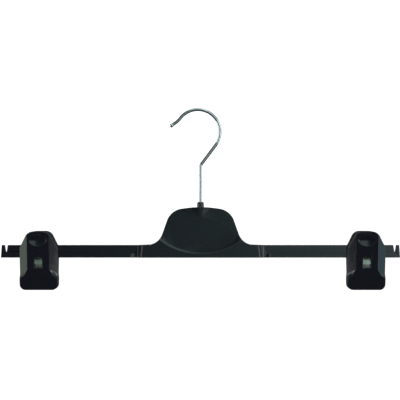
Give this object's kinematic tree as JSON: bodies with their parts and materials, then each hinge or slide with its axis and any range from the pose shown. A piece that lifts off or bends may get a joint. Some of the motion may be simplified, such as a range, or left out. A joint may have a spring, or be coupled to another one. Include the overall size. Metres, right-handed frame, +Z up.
{
  "type": "trouser and skirt hanger",
  "caption": "Crossbar hanger with a crowned centre plate, a swivelling wire hook and sliding spring clips that grip a waistband.",
  "frame": {"origin": "where the shank's axis meets the inside of the hook's loop, so the point that rests on the rail", "axes": "+X along the bar towards the hook's closed side, +Y towards the ribbed back (the show face looks along -Y), +Z up"},
  "size_m": [0.35, 0.028, 0.1594],
  "materials": {
    "body_plastic": "glossy moulded polystyrene, black",
    "hook_wire": "bright nickel-chrome plated steel wire",
    "jaw_plastic": "glossy moulded polystyrene, black",
    "spring_steel": "rolled spring-steel strip, satin",
    "pad_pvc": "soft matt PVC, ridged"
  },
  "bodies": {
    "hook": {"swivel_hook": "hook_wire"},
    "frame": {"hanger_body": "body_plastic"},
    "left_clip": {"left_spring": "spring_steel"},
    "left_front": {"left_front_jaw": "jaw_plastic", "left_front_pad": "pad_pvc"},
    "left_rear": {"left_rear_jaw": "jaw_plastic", "left_rear_pad": "pad_pvc"},
    "right_clip": {"right_spring": "spring_steel"},
    "right_front": {"right_front_jaw": "jaw_plastic", "right_front_pad": "pad_pvc"},
    "right_rear": {"right_rear_jaw": "jaw_plastic", "right_rear_pad": "pad_pvc"}
  },
  "joints": [
    {"name": "hook_swivel", "type": "hinge", "parent": "hook", "child": "frame", "pos_m": [0, 0, -0.08], "axis": [0, 0, 1], "continuous": true},
    {"name": "left_clip_slide", "type": "slide", "parent": "frame", "child": "left_clip", "axis": [1, 0, 0], "range_m": [-0.0089, 0.0622]},
    {"name": "left_front_jaw_pivot", "type": "hinge", "parent": "left_clip", "child": "left_front", "pos_m": [-0.1413, -0.00405, -0.1198], "axis": [-1, 0, 0], "range_deg": [0, 15], "stiffness_Nm_per_rad": 0.3, "springref_deg": -20.05, "deforming": ["left_spring"]},
    {"name": "left_rear_jaw_pivot", "type": "hinge", "parent": "left_clip", "child": "left_rear", "pos_m": [-0.1413, 0.00405, -0.1198], "axis": [1, 0, 0], "range_deg": [0, 15], "stiffness_Nm_per_rad": 0.3, "springref_deg": -20.05, "deforming": ["left_spring"]},
    {"name": "right_clip_slide", "type": "slide", "parent": "frame", "child": "right_clip", "axis": [1, 0, 0], "range_m": [-0.0658, 0.0052]},
    {"name": "right_front_jaw_pivot", "type": "hinge", "parent": "right_clip", "child": "right_front", "pos_m": [0.1449, -0.00405, -0.1198], "axis": [-1, 0, 0], "range_deg": [0, 15], "stiffness_Nm_per_rad": 0.3, "springref_deg": -20.05, "deforming": ["right_spring"]},
    {"name": "right_rear_jaw_pivot", "type": "hinge", "parent": "right_clip", "child": "right_rear", "pos_m": [0.1449, 0.00405, -0.1198], "axis": [1, 0, 0], "range_deg": [0, 15], "stiffness_Nm_per_rad": 0.3, "springref_deg": -20.05, "deforming": ["right_spring"]}
  ],
  "couplings": [
    {"joint": "left_rear_jaw_pivot", "follows": "left_front_jaw_pivot", "ratio": 1},
    {"joint": "right_rear_jaw_pivot", "follows": "right_front_jaw_pivot", "ratio": 1}
  ]
}
